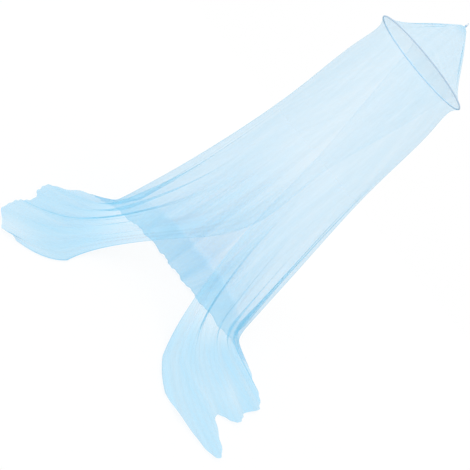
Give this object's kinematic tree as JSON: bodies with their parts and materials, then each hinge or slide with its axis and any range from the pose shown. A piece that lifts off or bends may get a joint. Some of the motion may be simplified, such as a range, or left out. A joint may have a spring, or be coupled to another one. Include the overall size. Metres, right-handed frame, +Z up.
{
  "type": "mosquito net canopy with hoop",
  "caption": "Sheer round mosquito net canopy: a loop and gathered crown over a hoop, and one long overlapped drape that opens at the front and trails on the floor.",
  "frame": {"origin": "inside of the hanging loop's top, where it bears on a hook", "axes": "+Z up, with the hoop level below the origin; the drape opens and its tails trail towards -Y; +X is to the right seen from the front"},
  "size_m": [1.5085, 1.5989, 1.9809],
  "materials": {
    "net_blue": "sheer matt net",
    "tape_blue": "woven tape",
    "hoop_plastic": "satin"
  },
  "bodies": {
    "root": {"hang_loop": "tape_blue", "crown_binding": "tape_blue", "crown_net": "net_blue", "hoop": "hoop_plastic", "hoop_sleeve": "tape_blue", "drape_net": "net_blue"}
  },
  "joints": []
}
